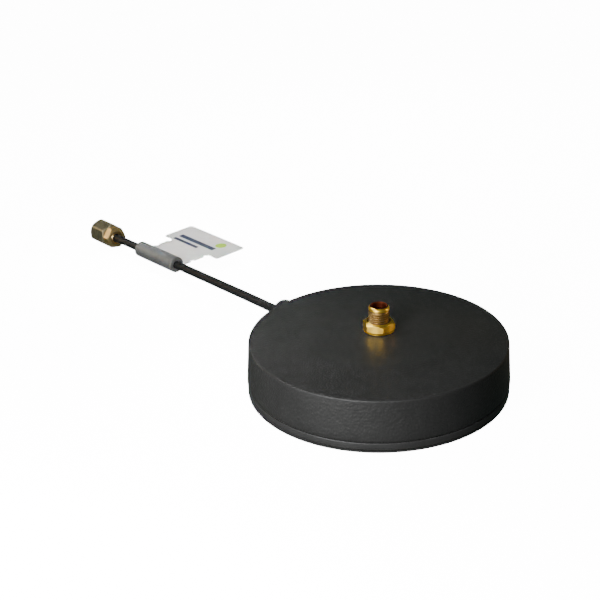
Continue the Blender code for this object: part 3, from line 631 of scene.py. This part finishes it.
def make_studio():
    """Lights for the piece, and a pale floor and backdrop that light nothing themselves."""
    lights = {settings[0]: make_area_light(*settings) for settings in LIGHTS}
    lights["back_light"].visible_glossy = False
    world = bpy.context.scene.world or bpy.data.worlds.new("studio")
    bpy.context.scene.world = world
    world.use_nodes = True
    background = world.node_tree.nodes["Background"]
    background.inputs["Color"].default_value = WORLD_COLOUR
    background.inputs["Strength"].default_value = WORLD_STRENGTH

    bm = bmesh.new()
    bmesh.ops.create_grid(bm, x_segments=8, y_segments=8, size=FLOOR_HALF_WIDTH)
    floor = object_of(bm, "floor")
    floor.location.z = -FLOOR_DROP
    (inside, outside), (foot, top) = BACKDROP_RADII, BACKDROP_HEIGHTS
    rows = [(inside, foot), (inside, top), (outside, top), (outside, foot)]
    backdrop = lathe("backdrop", rows)
    backdrop.visible_shadow = False
    finish = floor_finish()
    for sheet in (floor, backdrop):
        sheet.data.materials.append(finish)
        sheet.visible_diffuse = False
        sheet.visible_glossy = False


make_camera()


# ---------------------------------------------------------------- cable


def smooth_route(points, steps):
    """Catmull-Rom points through the route, `steps` to each span."""
    points = [Vector(point) for point in points]
    ends = [2 * points[0] - points[1], *points, 2 * points[-1] - points[-2]]
    route = []
    for before, start, end, after in zip(ends, ends[1:], ends[2:], ends[3:]):
        for i in range(steps):
            t = i / steps
            route.append(
                0.5
                * (
                    2 * start
                    + (end - before) * t
                    + (2 * before - 5 * start + 4 * end - after) * t**2
                    + (3 * start - before - 3 * end + after) * t**3
                )
            )
    return [*route, points[-1]]


def make_cable():
    points = smooth_route(CABLE_ROUTE, CABLE_STEPS)
    curve = bpy.data.curves.new("coax_jacket", "CURVE")
    curve.dimensions = "3D"
    curve.bevel_depth = CABLE_DIAMETER / 2
    curve.bevel_resolution = 8
    curve.use_fill_caps = True
    spline = curve.splines.new("POLY")
    spline.points.add(len(points) - 1)
    for place, point in zip(spline.points, points):
        place.co = (*point, 1.0)
    spline.use_smooth = True
    cable = linked(bpy.data.objects.new("coax_jacket", curve))
    return shown(cable, jacketed("jacket_finish"), ("cable",))


cable = make_cable()


# ---------------------------------------------------------------- base


def screw_places():
    """The axes of the base screws, in mm."""
    for i in range(SCREW_COUNT):
        angle = math.radians(FIRST_SCREW_ANGLE + 360 * i / SCREW_COUNT)
        yield SCREW_CIRCLE * math.cos(angle), SCREW_CIRCLE * math.sin(angle)


def make_housing(material):
    """The upper moulding: rounded rim, shallow dome, flat seat for the nut and inner bosses."""
    lip_round = 0.25
    corner = (RIM_RADIUS - RIM_ROUND, RIM_HEIGHT - RIM_ROUND)
    lip = (SKIRT_RADIUS - lip_round, SKIRT_BOTTOM + lip_round)
    outer = [
        (JACK_HOLE, CROWN_HEIGHT - 0.15),
        (JACK_HOLE + 0.15, CROWN_HEIGHT),
        *straight((SEAT_RADIUS, CROWN_HEIGHT), (ZONE_RADIUS, ZONE_HEIGHT), 8),
        *straight((ZONE_RADIUS, ZONE_HEIGHT), (corner[0] - 0.3, RIM_HEIGHT + 0.02), 8),
        *arc(corner, RIM_ROUND, 86, 3, 6),
        *straight((RIM_RADIUS + 0.03, corner[1] - 0.3), (SKIRT_RADIUS, lip[1] + 0.2), 5),
        *arc(lip, lip_round, 0, -90, 4),
    ]
    inner = [
        (SKIRT_RADIUS - WALL, SKIRT_BOTTOM),
        (RIM_RADIUS - WALL, RIM_HEIGHT - 1.3 * WALL),
        (RIM_RADIUS - 1.6 * WALL, RIM_HEIGHT - WALL),
        (ZONE_RADIUS, ZONE_HEIGHT - WALL),
        (JACK_HOLE, CROWN_HEIGHT - WALL),
    ]
    shell = lathe("housing_shell", outer + inner, ROUND)
    for x, y in screw_places():
        foot = (x, y, SKIRT_BOTTOM)
        boolean(shell, bar("boss", BOSS_RADIUS, foot, (x, y, BOSS_TOP)), "UNION")
        below = (x, y, SKIRT_BOTTOM - 1)
        boolean(shell, bar("pilot", SCREW_HOLE_RADIUS, below, (x, y, PILOT_TOP)))
    inside, outside = (-34, 0, CABLE_HEIGHT), (-42, 0, CABLE_HEIGHT)
    boolean(shell, bar("side_hole", SIDE_HOLE_RADIUS, inside, outside))
    return shown(shell, material, ("top_housing",))


def make_plate(material):
    """The lower moulding, with rounded edges, its spigot, magnet pocket and cable saddle."""
    low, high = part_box("base_plate")
    radius = high.x / MM
    bottom = low.z / MM
    edge = 0.28
    rows = [
        (13.4, PLATE_TOP),
        (13.4, 2.0),
        (28.2, 2.0),
        (28.2, PLATE_TOP),
        (35.2, 4.8),
        (35.35, 4.95),
        (37.4, 4.95),
        (37.55, 4.8),
        (37.55, 4.5),
        (36.5, 4.5),
        (36.5, 3.3),
        (37.55, 3.3),
        (37.55, PLATE_TOP),
        *arc((radius - edge, PLATE_TOP - edge), edge, 90, 0, 5),
        *arc((radius - edge, bottom + edge), edge, 0, -90, 5),
    ]
    plate = lathe("lower_moulding", rows, ROUND, solid=True)
    boolean(plate, block("saddle", SADDLE_LOW, SADDLE_HIGH), "UNION")
    far, near = (-34, 0, CABLE_HEIGHT), (-27.6, 0, CABLE_HEIGHT)
    boolean(plate, bar("groove", CABLE_GROOVE_RADIUS, far, near))
    for y in (-CLAMP_SCREW_Y, CLAMP_SCREW_Y):
        foot, head = (CLAMP_SCREW_X, y, 4.0), (CLAMP_SCREW_X, y, 9.5)
        boolean(plate, bar("saddle_hole", CLAMP_HOLE_RADIUS, foot, head))
    for x, y in screw_places():
        boolean(plate, bar("screw_hole", SCREW_HOLE_RADIUS, (x, y, 0), (x, y, PLATE_TOP + 1)))
        boolean(plate, bar("head_hole", SCREW_HEAD_RADIUS, (x, y, 0), (x, y, SCREW_HEAD_SEAT)))
    return shown(plate, material, ("base_plate",))


def make_pad(material):
    """The rubber pad: rounded edge, thin rings moulded in its underside and the pull notch."""
    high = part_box("base_pad")[1]
    radius, top = high.x / MM, high.z / MM
    edge = 0.12
    profile = ((0.5, 0.0), (0.3, 0.15), (-0.3, 0.15), (-0.5, 0.0))
    ribs = [(centre + out, up) for centre in reversed(PAD_RIBS) for out, up in profile]
    rows = [
        (0.5, top),
        *straight((2.0, top), (radius - edge, top), 6),
        *arc((radius - edge, top - edge), edge, 90, 0, 3),
        *arc((radius - edge, edge), edge, 0, -90, 3),
        *ribs,
        (0.5, 0.0),
    ]
    pad = lathe("rubber_pad", rows, ROUND, solid=True)
    low, high = (0, PULL_NOTCH_CENTRE, -1), (0, PULL_NOTCH_CENTRE, 2)
    boolean(pad, bar("pull_notch", PULL_NOTCH_RADIUS, low, high, 96))
    return shown(pad, material, ("base_pad",))


def make_strain_relief(material):
    """The grommet: a rounded boss outside, a neck in the wall and a flange inside it."""
    boss_near, boss_far = 40.05, 45.7
    flange_near, flange_far = 35.0, 36.9
    radius, tip, neck, flange, bore = 4.7, 3.9, 2.8, 3.6, 1.8
    edge = 0.2
    rows = [
        (bore + 0.02, boss_far - 0.5),
        (bore + 0.25, boss_far - 0.12),
        (bore + 0.5, boss_far),
        *arc((tip, boss_far - (radius - tip)), radius - tip, 90, 0, 8),
        (radius, boss_near + 0.25),
        (radius - edge, boss_near),
        (neck, boss_near),
        (neck, flange_far),
        (flange - edge, flange_far),
        (flange, flange_far - edge),
        (flange, flange_near + edge),
        (flange - edge, flange_near),
        (bore, flange_near),
    ]
    relief = lathe("cable_grommet", rows)
    relief.rotation_euler = (0, math.radians(-90), 0)
    relief.location.z = CABLE_HEIGHT * MM
    return shown(relief, material, ("strain_relief",))


# ---------------------------------------------------------------- jack


def make_jack(gold, painted_shade_bore_gold, painted_shade_thread_gold, amber):
    """The bulkhead jack: threaded barrel, dielectric, slotted contact, washer and nut."""
    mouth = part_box("jack_body")[1].z / MM
    radius = THREAD_RADIUS
    flange_top = 14.9
    rows = [
        (JACK_BORE, mouth - 0.15),
        (JACK_BORE + 0.12, mouth),
        (radius - 0.45, mouth),
        (radius - 0.41, mouth - 0.02),
        (radius - 0.05, mouth - 0.38),
        (radius, mouth - 0.46),
        (radius, mouth - 1.2),
        *threaded(radius, THREAD_DEPTH, mouth - 1.25, CROWN_HEIGHT - 0.6),
        (radius, CROWN_HEIGHT - 0.8),
        (radius, flange_top),
        (5.0, flange_top),
        (5.2, flange_top - 0.2),
        (5.2, 13.3),
        (5.0, 13.1),
        (2.6, 13.1),
        (2.6, 12.3),
        (1.4, 12.3),
        (1.4, JACK_SEAT),
        (JACK_BORE, JACK_SEAT),
    ]
    barrel = lathe("jack_barrel", rows)
    shown(barrel, gold, ("jack_body",))
    barrel.data.materials.append(painted_shade_bore_gold)
    barrel.data.materials.append(painted_shade_thread_gold)
    # The mouth and the bore take a darker copy of the gold, painted shade and dark reflection, and
    # so does the thread above the housing
    for face in barrel.data.polygons:
        out, up = face.center.xy.length / MM, face.center.z / MM
        if up > mouth - 0.1 or (out < JACK_BORE + 0.01 and up > JACK_SEAT):
            face.material_index = 1
        elif CROWN_HEIGHT < up < mouth - 1.2:
            face.material_index = 2

    core_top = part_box("jack_insulator")[1].z / MM
    core = lathe(
        "jack_dielectric",
        [
            (0.95, core_top - 0.08),
            (1.03, core_top),
            (1.95, core_top),
            (2.05, core_top - 0.1),
            (2.05, 13.8),
            (0.95, 13.8),
        ],
    )
    shown(core, amber, ("jack_insulator",))

    contact = lathe(
        "jack_socket",
        [
            (0.02, core_top - 3.0),
            (0.45, core_top - 3.0),
            (0.45, core_top - 0.12),
            (0.52, core_top),
            (0.58, core_top),
            (0.64, core_top - 0.08),
            (0.64, 10.1),
            (0.54, 10.0),
        ],
        48,
        solid=True,
    )
    for turn in (0, 90):
        slot = block("socket_slot", (-0.07, -1.0, core_top - 2.2), (0.07, 1.0, core_top + 0.5))
        slot.rotation_euler.z = math.radians(turn + 20)
        boolean(contact, slot)
    shown(contact, gold, ("jack_contact",))

    low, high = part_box("jack_washer")
    bottom, top, outer = low.z / MM, high.z / MM, high.x / MM
    washer = lathe(
        "seat_washer",
        [
            (JACK_HOLE, top),
            (outer - 0.1, top),
            (outer, top - 0.1),
            (outer, bottom + 0.05),
            (outer - 0.05, bottom),
            (JACK_HOLE, bottom),
        ],
    )
    shown(washer, gold, ("jack_washer",))

    low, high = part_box("jack_nut")
    bottom, top = low.z / MM, high.z / MM
    outline = hexagon(JACK_NUT_FLATS, 30)
    rows = [
        (JACK_HOLE, top - 0.1),
        (JACK_HOLE + 0.1, top),
        *hex_rows(outline, top, bottom, *JACK_NUT_FACES, -JACK_NUT_CONE, -JACK_NUT_CONE),
        (JACK_HOLE + 0.2, bottom),
        (JACK_HOLE, bottom + 0.2),
    ]
    nut = bevelled(lathe("panel_nut", rows, HEXAGONAL), 0.12)
    shown(nut, gold, ("jack_nut",))


# ---------------------------------------------------------------- label


# Its centre in metres, the cable's direction there, and the rest in mm
LABEL_CENTRE = (-0.12265, 0.0045, 0.0050)
LABEL_CHORD = (23.7, -0.04, 0.235)
LABEL_HALF_LENGTH = 11.8
LABEL_BORE = 1.54
LABEL_RADIUS = 3.0
FLAG_NECK_HALF = 11.7
FLAG_HEAD_HALF = 17.0
FLAG_ROOT = 2.45
FLAG_SHOULDER = 14.3
FLAG_END = 28.6
FLAG_OFFSET = 1.45
FLAG_SKEW = 2.4
FLAG_CORNER = 1.2
FLAG_NOTCHES = (6.6, 12.9)
FLAG_NOTCH_RADIUS = 0.9
FLAG_THICKNESS = 0.4

# Print on the flag, in mm along the cable and away from it. A bar is (start, end, low, high).
PRINT_BARS = ((-12.0, 9.5, 17.9, 20.2), (-12.0, 3.0, 14.9, 16.5))
PRINT_DOT = (8.6, 23.4)
PRINT_DOT_RADIUS = 2.2
INK_THICKNESS = 0.03


def flag_place(along, out):
    """Slants the flag's outline towards the plug, in mm from the sleeve's centre."""
    slant = FLAG_SKEW * (out - FLAG_ROOT) / (FLAG_END - FLAG_ROOT)
    return along + FLAG_OFFSET - slant, out


def flag_side(side):
    """One edge of the flag from the sleeve outwards: (along the cable, away from it)."""
    neck = side * FLAG_NECK_HALF
    head = side * (FLAG_HEAD_HALF - FLAG_CORNER)
    turn = (-90, -270) if side > 0 else (-90, 90)
    points = [(neck, FLAG_ROOT)]
    for height in FLAG_NOTCHES:
        points += arc((neck, height), FLAG_NOTCH_RADIUS, *turn, 12)
    points.append((neck, FLAG_SHOULDER + 0.2))
    turn = (-90, 0) if side > 0 else (270, 180)
    points += arc((head, FLAG_SHOULDER + FLAG_CORNER), FLAG_CORNER, *turn, 8)
    turn = (0, 90) if side > 0 else (180, 90)
    points += arc((head, FLAG_END - FLAG_CORNER), FLAG_CORNER, *turn, 8)
    return points


def flat_shape(name, outline, thickness):
    """A flat plate with the given outline in mm, half of it above and half below its plane."""
    curve = bpy.data.curves.new(name, "CURVE")
    curve.dimensions = "2D"
    curve.fill_mode = "BOTH"
    curve.extrude = thickness / 2 * MM
    spline = curve.splines.new("POLY")
    spline.points.add(len(outline) - 1)
    for place, (x, y) in zip(spline.points, outline):
        place.co = (x * MM, y * MM, 0, 1)
    spline.use_cyclic_u = True
    drawn = linked(bpy.data.objects.new(name, curve))
    bm = bmesh.new()
    bm.from_mesh(evaluated_mesh(drawn))
    bpy.data.objects.remove(drawn)
    bmesh.ops.remove_doubles(bm, verts=bm.verts, dist=0.00001)
    bmesh.ops.dissolve_limit(
        bm, angle_limit=math.radians(1), verts=bm.verts, edges=bm.edges, delimit={"NORMAL"}
    )
    return object_of(bm, name)


def make_label(flag_film, sleeve_film, ink, dot_ink):
    """A film sleeve round the cable, its flag, and plain printed bars and a dot on the flag."""
    flag = flat_shape(
        "label_flag",
        [flag_place(*point) for point in flag_side(1) + flag_side(-1)[::-1]],
        FLAG_THICKNESS,
    )
    flag.location = LABEL_CENTRE
    bevelled(flag, 0.08, segments=2)
    shown(flag, flag_film)

    half, radius = LABEL_HALF_LENGTH, LABEL_RADIUS
    rows = [
        (LABEL_BORE, half - 0.15),
        (LABEL_BORE + 0.15, half),
        (radius - 0.3, half),
        *arc((radius - 0.3, half - 0.3), 0.3, 80, 0, 4),
        *straight((radius, half - 1.0), (radius, -half + 1.0), 14),
        *arc((radius - 0.3, -half + 0.3), 0.3, 0, -80, 4),
        (radius - 0.3, -half),
        (LABEL_BORE + 0.15, -half),
        (LABEL_BORE, -half + 0.15),
    ]
    sleeve = lathe("label_sleeve", rows)
    sleeve.rotation_euler = Vector(LABEL_CHORD).to_track_quat("Z", "Y").to_euler()
    sleeve.location = LABEL_CENTRE
    shown(sleeve, sleeve_film, ("cable_label",))

    prints = []
    for number, (start, end, low, high) in enumerate(PRINT_BARS, 1):
        corners = ((start, low), (end, low), (end, high), (start, high))
        outline = [flag_place(*corner) for corner in corners]
        prints.append(printed(f"printed_bar_{number}", outline, ink))
    along, out = PRINT_DOT
    outline = arc(flag_place(along, out), PRINT_DOT_RADIUS, 0, 352.5, 47)
    prints.append(printed("printed_dot", outline, dot_ink))
    return flag, sleeve, *prints


def printed(name, outline, ink):
    """A thin layer of ink on the flag's upper face."""
    layer = flat_shape(name, outline, INK_THICKNESS)
    layer.location = LABEL_CENTRE
    layer.location.z += (FLAG_THICKNESS + INK_THICKNESS) / 2 * MM
    return shown(layer, ink)


# ---------------------------------------------------------------- plug


def on_plug_axis(obj):
    """Lays a piece made about Z along the plug, with Z from its rear face to its mouth."""
    obj.rotation_euler = (0, math.radians(-90), 0)
    obj.location = frame["joints"][0]["pos_m"]
    return obj


def make_plug(gold, painted_shade_nut_gold, ptfe):
    """The SMA plug: hexagonal body and barrel, dielectric, pin, crimp ring and coupling nut."""
    outline = hexagon(PLUG_BODY_FLATS, PLUG_BODY_TURN)
    body_rows = [
        (2.5, 1.9),
        (2.5, 0.12),
        (2.62, 0.0),
        *hex_rows(outline, 0.0, 3.0, 3.5, 4.0, 0.56, 0.4),
        (2.45, 3.0),
        (2.45, 4.4),
        (2.0, 4.4),
        (2.0, 5.4),
        (2.45, 5.4),
        (2.45, 6.7),
        (2.75, 6.7),
        (2.85, 6.8),
        (2.85, 7.4),
        (2.28, 7.4),
        (2.28, 10.2),
        (2.2, 10.3),
        (2.1, 10.3),
        (2.05, 10.25),
        (2.05, 7.4),
        (1.55, 7.4),
        (1.55, 3.2),
        (0.76, 3.2),
        (0.76, 1.9),
    ]
    body = bevelled(lathe("plug_shell", body_rows, HEXAGONAL), 0.12)
    shown(on_plug_axis(body), gold, ("plug_body",))

    core = lathe(
        "plug_dielectric",
        [
            (0.76, 10.12),
            (0.84, 10.2),
            (1.65, 10.2),
            (1.75, 10.1),
            (1.75, 7.7),
            (1.25, 7.7),
            (1.25, 3.5),
            (0.76, 3.5),
        ],
        64,
    )
    shown(on_plug_axis(core), ptfe, ("plug_insulator",))

    tip = arc((0.0, 10.84), 0.46, 84, 0, 8)
    pin = lathe("plug_pin_fine", [*tip, (0.46, 2.0), (0.36, 1.9)], 48, solid=True)
    shown(on_plug_axis(pin), gold, ("plug_pin",))

    ferrule = lathe(
        "crimp_ring",
        [(1.8, 1.6), (2.2, 1.6), (2.2, 0.1), (2.1, 0.0), (1.9, 0.0), (1.8, 0.1)],
        72,
    )
    shown(on_plug_axis(ferrule), gold, ("plug_ferrule",))

    outline = hexagon(COUPLING_FLATS, COUPLING_TURN, COUPLING_CORNER)
    start, end, bore = COUPLING_START, COUPLING_END, INNER_THREAD_RADIUS
    face = 4.0

    def shoulder(share):
        """A row of the rounded front, a share of the way from its face to the flats."""
        drop = 0.8

        def row(angle):
            out = share * (outline(angle) - face)
            return face + out, end - drop * (out / (COUPLING_CORNER - face)) ** 1.6

        return row

    nut_rows = [
        (2.75, start + 0.15),
        (2.9, start),
        *hex_rows(outline, start, end, 4.2, face, 0.62, 0.0)[:2],
        *[shoulder(share) for share in (1.0, 0.75, 0.5, 0.25)],
        (face, end),
        (3.6, end),
        (3.5, end - 0.05),
        *threaded(bore, INNER_THREAD_DEPTH, end - 0.3, COUPLING_THREAD_STOP),
        (bore, 6.4),
        (2.75, 6.4),
        (2.75, 5.4),
        (bore, 5.4),
        (bore, 4.4),
        (2.75, 4.4),
    ]
    nut = bevelled(lathe("coupling_sleeve", nut_rows, HEXAGONAL), 0.1, angle=35)
    # The coupling nut takes the darker copy of the plug gold, with painted shade
    shown(on_plug_axis(nut), painted_shade_nut_gold, ("coupling_nut",), SPINNING_BODY)
    return body, core, pin, ferrule, nut


# ---------------------------------------------------------------- the whole


housing_finish = moulded(
    "housing_finish",
    (0.0145, 0.0145, 0.0143),
    (0.016, 0.016, 0.0157),
    (0.52, 0.57),
    0.6,
    0.06,
    (ZONE_RADIUS, RIM_HEIGHT),
)
plate_finish = moulded("plate_finish", grey(0.02), grey(0.023), (0.48, 0.55), 0.6, 0.04)
pad_finish = moulded("pad_finish", grey(0.009), grey(0.012), (0.7, 0.85), 0.4, 0.03)
relief_finish = moulded(
    "relief_finish", (0.012, 0.0125, 0.0125), (0.015, 0.0155, 0.0155), (0.5, 0.6), 0.5, 0.02
)
gold_finish = plated("gold_finish", (0.85, 0.55, 0.07), (0.66, 0.36, 0.035), (0.3, 0.38))
# Darker copies of the gold, painted shade and dark reflection: on the jack's thread, and on its
# mouth and bore
painted_shade_thread_finish = plated("painted_shade_thread_finish", (0.3, 0.19, 0.065), (0.2, 0.13, 0.045), (0.4, 0.5))
painted_shade_bore_finish = plated("painted_shade_bore_finish", (0.17, 0.04, 0.018), (0.1, 0.02, 0.01), (0.4, 0.5))
plug_finish = plated("plug_finish", (0.8, 0.57, 0.25), (0.58, 0.43, 0.2), (0.32, 0.42))
# A darker, duller copy of the plug gold: painted shade that dims the coupling nut's highlights
painted_shade_nut_finish = plated("painted_shade_nut_finish", (0.46, 0.4, 0.26), (0.32, 0.28, 0.19), (0.38, 0.5), 0.8)
amber_finish = plain(
    "amber_finish", (0.06, 0.018, 0.008), (0.1, 0.03, 0.014), (0.35, 0.5), 0.2, 0.01
)
ptfe_finish = plain("ptfe_finish", (0.82, 0.81, 0.77), (0.9, 0.89, 0.86), (0.35, 0.45), 0.2, 0.01)
flag_finish = filmed("flag_finish", (0.60, 0.58, 0.565), (0.66, 0.64, 0.625), (0.38, 0.5))
sleeve_finish = filmed("sleeve_finish", (0.09, 0.089, 0.088), (0.12, 0.119, 0.118), (0.35, 0.5))
ink_finish = plain(
    "ink_finish", (0.003, 0.003, 0.018), (0.006, 0.006, 0.03), (0.35, 0.5), 0.2, 0.01
)
green_finish = plain("green_finish", (0.26, 0.44, 0.01), (0.33, 0.52, 0.02), (0.35, 0.5), 0.2, 0.01)

make_studio()
make_housing(housing_finish)
make_plate(plate_finish)
make_pad(pad_finish)
grommet = make_strain_relief(relief_finish)
make_jack(gold_finish, painted_shade_bore_finish, painted_shade_thread_finish, amber_finish)
label_pieces = make_label(flag_finish, sleeve_finish, ink_finish, green_finish)
plug_pieces = make_plug(plug_finish, painted_shade_nut_finish, ptfe_finish)

# Pieces kept from the CAD, by finish
STEEL_PIECES = (
    "yoke_plate",
    *(f"base_screw_{number}" for number in range(1, 5)),
    *(f"clamp_screw_{number}" for number in range(1, 3)),
    "plug_snap_ring",
)
INNER_FINISHES = (
    (
        ("seal_ring", "jack_oring", "plug_gasket"),
        plain("seal_finish", grey(0.018), grey(0.03), (0.6, 0.75), 0.3, 0.02),
    ),
    (
        ("ring_magnet",),
        plain("ferrite_finish", (0.05, 0.05, 0.055), (0.09, 0.09, 0.1), (0.5, 0.7), 0.4, 0.03),
    ),
    (
        STEEL_PIECES,
        plain("steel_finish", (0.5, 0.51, 0.52), grey(0.62), (0.25, 0.45), 0.3, 0.01, 1.0),
    ),
    (
        ("junction_board",),
        plain(
            "laminate_finish", (0.02, 0.13, 0.05), (0.035, 0.18, 0.075), (0.35, 0.5), 0.5, 0.02
        ),
    ),
    (
        ("ground_clip",),
        plain("tin_finish", (0.66, 0.66, 0.64), (0.76, 0.76, 0.75), (0.25, 0.4), 0.3, 0.01, 1.0),
    ),
    (
        ("braid_sleeve", "center_lead"),
        plain(
            "copper_finish", (0.62, 0.3, 0.17), (0.8, 0.42, 0.26), (0.25, 0.45), 0.25, 0.06, 1.0
        ),
    ),
    (
        ("cable_clamp",),
        plain("clamp_finish", grey(0.04), grey(0.06), (0.45, 0.6), 0.5, 0.03),
    ),
    (("cable_core",), ptfe_finish),
)
for names, finish in INNER_FINISHES:
    for name in names:
        materials = frame["nodes"][name].data.materials
        materials.clear()
        materials.append(finish)
